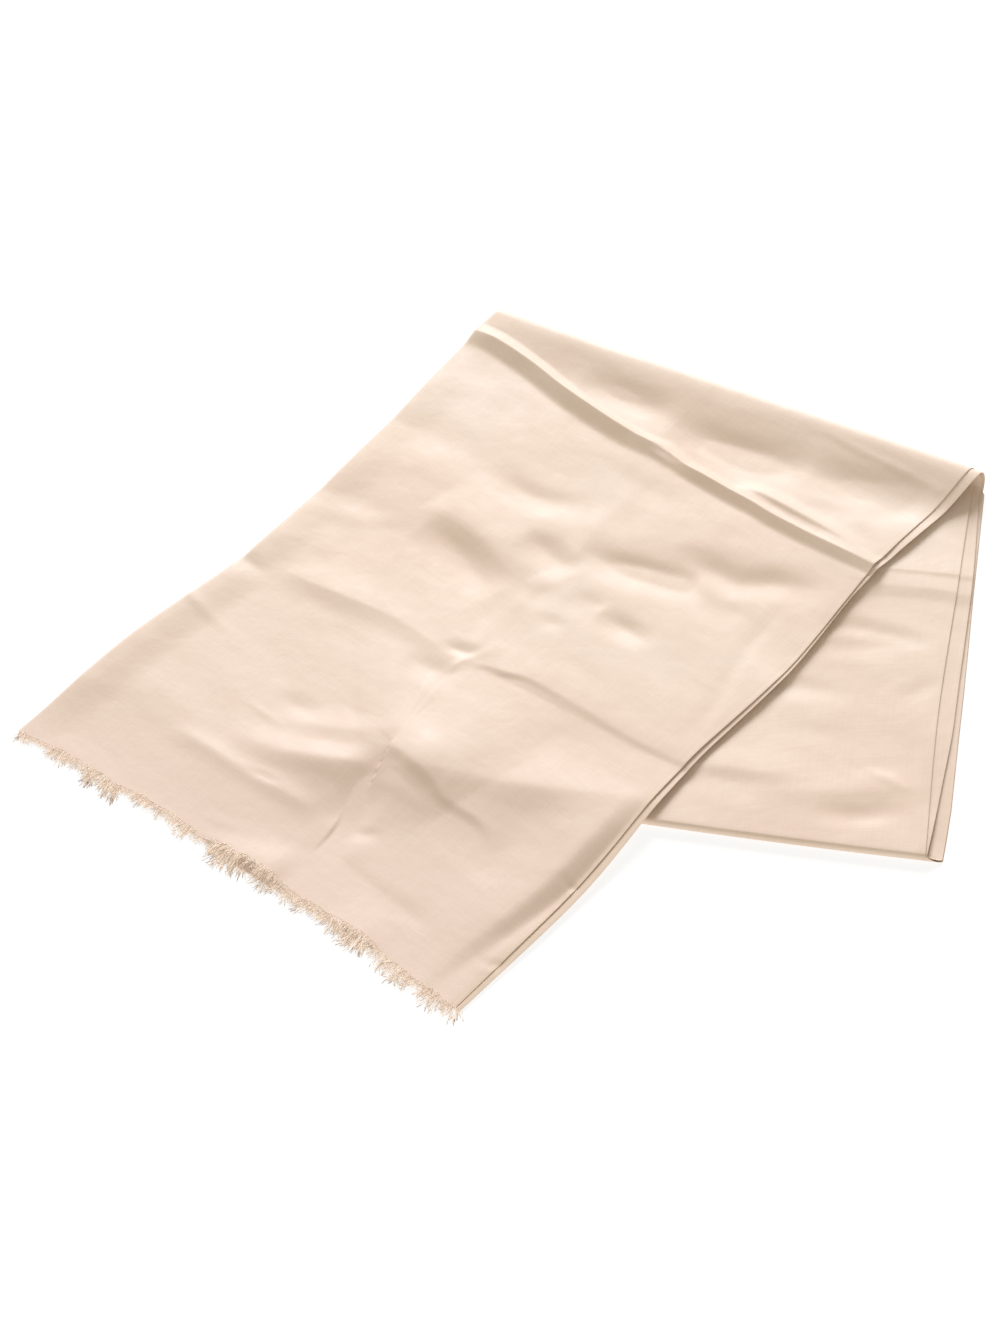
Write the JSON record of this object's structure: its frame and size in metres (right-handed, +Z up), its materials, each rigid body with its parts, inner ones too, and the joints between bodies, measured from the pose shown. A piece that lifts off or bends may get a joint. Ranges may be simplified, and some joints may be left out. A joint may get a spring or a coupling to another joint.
{
  "type": "folded silk shawl",
  "caption": "Plain silk shawl with a short frayed fringe, folded in four, turned over on itself on a slant and lying flat.",
  "frame": {"origin": "centre of the bounding box, on the surface that the shawl lies on", "axes": "+X along the last fold, from the soft lengthwise fold towards the open edges; +Y from the fringe towards the last fold; +Z up"},
  "size_m": [0.5743, 0.5701, 0.019],
  "materials": {
    "silk_top": "soft silk sheen, champagne",
    "silk_under": "soft silk sheen, champagne in shade",
    "silk_fringe": "frayed silk thread, pale cream"
  },
  "bodies": {
    "root": {"upper_leg_top_layer": "silk_top", "upper_leg_under_layers": "silk_under", "lower_leg_top_layer": "silk_top", "lower_leg_under_layers": "silk_under", "upper_leg_top_fringe": "silk_fringe", "upper_leg_under_fringe": "silk_fringe"}
  },
  "joints": []
}
